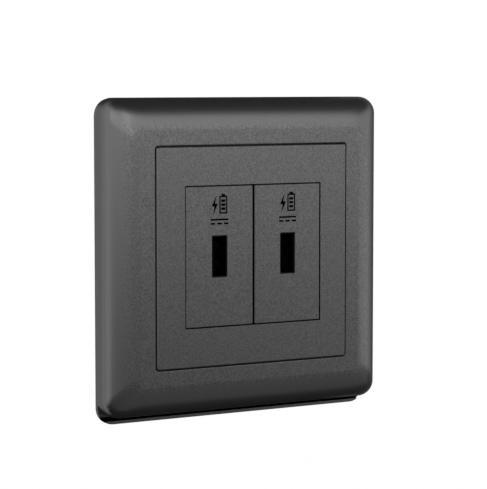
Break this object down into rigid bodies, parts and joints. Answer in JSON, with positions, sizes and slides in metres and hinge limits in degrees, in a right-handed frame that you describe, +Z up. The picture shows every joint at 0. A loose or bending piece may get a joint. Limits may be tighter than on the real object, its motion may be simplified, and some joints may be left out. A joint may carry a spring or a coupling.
{
  "type": "usb wall socket",
  "caption": "Square rolled-edge wall socket with upright USB-A charging ports in a centre plate, carried by a steel yoke, with rising-cage screw terminals behind.",
  "frame": {"origin": "centre of the socket on the wall plane, midway between the box screws", "axes": "+X to the right as the user faces the socket, +Z up, -Y out of the wall towards the user"},
  "size_m": [0.1, 0.0415, 0.1026],
  "materials": {
    "frame_grey": "fine spark texture, matt",
    "base_grey": "smooth, matt",
    "yoke_steel": "zinc plated",
    "housing_black": "moulded, satin",
    "board_green": "solder mask",
    "port_steel": "black plated",
    "tongue_black": "moulded",
    "contact_brass": "bright",
    "ferrite": "ground, matt",
    "winding_tape": "wrapped tape",
    "can_sleeve": "shrunk sleeve",
    "rectifier_black": "moulded",
    "fuse_case": "moulded",
    "screw_steel": "zinc plated",
    "cage_steel": "zinc plated"
  },
  "bodies": {
    "socket": {"cover_frame": "frame_grey", "frame_base": "base_grey", "centre_plate": "frame_grey", "support_yoke": "yoke_steel", "left_module_cover": "frame_grey", "left_module_housing": "housing_black", "left_circuit_board": "board_green", "left_port_shell": "port_steel", "left_port_tongue": "tongue_black", "left_port_contacts": "contact_brass", "left_transformer_core": "ferrite", "left_transformer_winding": "winding_tape", "left_input_capacitor": "can_sleeve", "left_output_capacitor": "can_sleeve", "left_rectifier": "rectifier_black", "left_fuse": "fuse_case", "left_live_contact_bar": "contact_brass", "left_neutral_contact_bar": "contact_brass", "right_module_cover": "frame_grey", "right_module_housing": "housing_black", "right_circuit_board": "board_green", "right_port_shell": "port_steel", "right_port_tongue": "tongue_black", "right_port_contacts": "contact_brass", "right_transformer_core": "ferrite", "right_transformer_winding": "winding_tape", "right_input_capacitor": "can_sleeve", "right_output_capacitor": "can_sleeve", "right_rectifier": "rectifier_black", "right_fuse": "fuse_case", "right_live_contact_bar": "contact_brass", "right_neutral_contact_bar": "contact_brass"},
    "left_live_screw": {"left_live_terminal_screw": "screw_steel"},
    "left_live_cage": {"left_live_terminal_cage": "cage_steel"},
    "left_neutral_screw": {"left_neutral_terminal_screw": "screw_steel"},
    "left_neutral_cage": {"left_neutral_terminal_cage": "cage_steel"},
    "right_live_screw": {"right_live_terminal_screw": "screw_steel"},
    "right_live_cage": {"right_live_terminal_cage": "cage_steel"},
    "right_neutral_screw": {"right_neutral_terminal_screw": "screw_steel"},
    "right_neutral_cage": {"right_neutral_terminal_cage": "cage_steel"}
  },
  "joints": [
    {"name": "left_live_screw_turn", "type": "hinge", "parent": "socket", "child": "left_live_screw", "pos_m": [-0.01255, 0.0245, 0.01445], "axis": [0, -1, 0], "range_deg": [0, 1800]},
    {"name": "left_live_cage_rise", "type": "slide", "parent": "socket", "child": "left_live_cage", "axis": [0, 1, 0], "range_m": [0, 0.0025]},
    {"name": "left_neutral_screw_turn", "type": "hinge", "parent": "socket", "child": "left_neutral_screw", "pos_m": [-0.01255, 0.0245, -0.01445], "axis": [0, -1, 0], "range_deg": [0, 1800]},
    {"name": "left_neutral_cage_rise", "type": "slide", "parent": "socket", "child": "left_neutral_cage", "axis": [0, 1, 0], "range_m": [0, 0.0025]},
    {"name": "right_live_screw_turn", "type": "hinge", "parent": "socket", "child": "right_live_screw", "pos_m": [0.01255, 0.0245, 0.01445], "axis": [0, -1, 0], "range_deg": [0, 1800]},
    {"name": "right_live_cage_rise", "type": "slide", "parent": "socket", "child": "right_live_cage", "axis": [0, 1, 0], "range_m": [0, 0.0025]},
    {"name": "right_neutral_screw_turn", "type": "hinge", "parent": "socket", "child": "right_neutral_screw", "pos_m": [0.01255, 0.0245, -0.01445], "axis": [0, -1, 0], "range_deg": [0, 1800]},
    {"name": "right_neutral_cage_rise", "type": "slide", "parent": "socket", "child": "right_neutral_cage", "axis": [0, 1, 0], "range_m": [0, 0.0025]}
  ],
  "couplings": [
    {"joint": "left_live_screw_turn", "follows": "left_live_cage_rise", "rad_per_m": 12566},
    {"joint": "left_neutral_screw_turn", "follows": "left_neutral_cage_rise", "rad_per_m": 12566},
    {"joint": "right_live_screw_turn", "follows": "right_live_cage_rise", "rad_per_m": 12566},
    {"joint": "right_neutral_screw_turn", "follows": "right_neutral_cage_rise", "rad_per_m": 12566}
  ]
}
